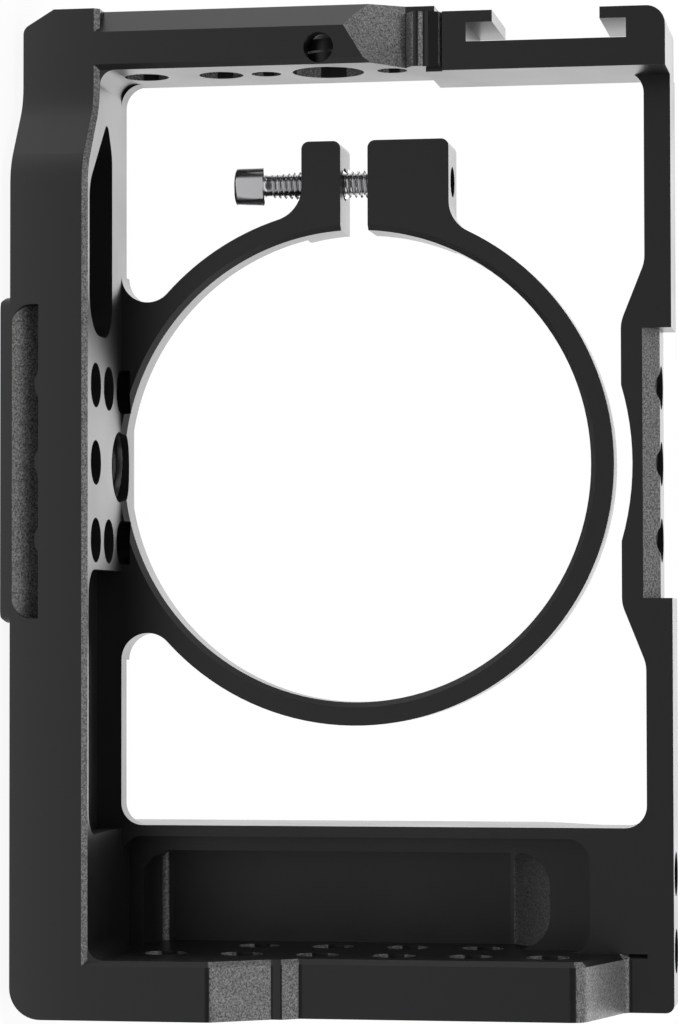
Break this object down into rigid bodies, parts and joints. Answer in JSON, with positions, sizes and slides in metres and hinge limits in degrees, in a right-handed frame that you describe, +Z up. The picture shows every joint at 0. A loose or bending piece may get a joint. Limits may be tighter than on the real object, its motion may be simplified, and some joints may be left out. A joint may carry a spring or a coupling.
{
  "type": "camera cage",
  "caption": "Milled aluminium frame that wraps a compact camera, with a split lens ring and clamp screw, cold shoe, dovetail foot and threaded accessory holes.",
  "frame": {"origin": "mouth of the 3/8 inch tripod hole, in the underside of the foot, below the lens axis", "axes": "+X to the operator's right, +Y the way the camera looks, +Z up"},
  "size_m": [0.1172, 0.038, 0.0759],
  "materials": {
    "black_anodised": "satin bead-blasted black anodise",
    "bright_steel": "bright nickel-plated steel"
  },
  "bodies": {
    "cage": {"quick_release_foot": "black_anodised", "front_tongue": "black_anodised", "base_plate": "black_anodised", "cold_shoe": "black_anodised", "left_wall": "black_anodised", "right_wall": "black_anodised", "grip_shell": "black_anodised", "top_bar": "black_anodised", "screw_side_lug": "black_anodised", "threaded_lug": "black_anodised", "ring_root": "black_anodised", "ring_short_arm": "black_anodised", "ring_long_arm": "black_anodised"},
    "screw_travel": {"clamp_screw_shank": "bright_steel"},
    "screw_turn": {"clamp_screw_head": "bright_steel"}
  },
  "joints": [
    {"name": "clamp_screw_advance", "type": "slide", "parent": "cage", "child": "screw_travel", "axis": [0, 0, 1], "range_m": [0, 0.0042]},
    {"name": "clamp_screw_turn", "type": "hinge", "parent": "screw_travel", "child": "screw_turn", "pos_m": [-0.0338, 0.0045, 0.02], "axis": [0, 0, 1], "range_deg": [0, 2331]}
  ],
  "couplings": [
    {"joint": "clamp_screw_turn", "follows": "clamp_screw_advance", "rad_per_m": 9666.4}
  ]
}
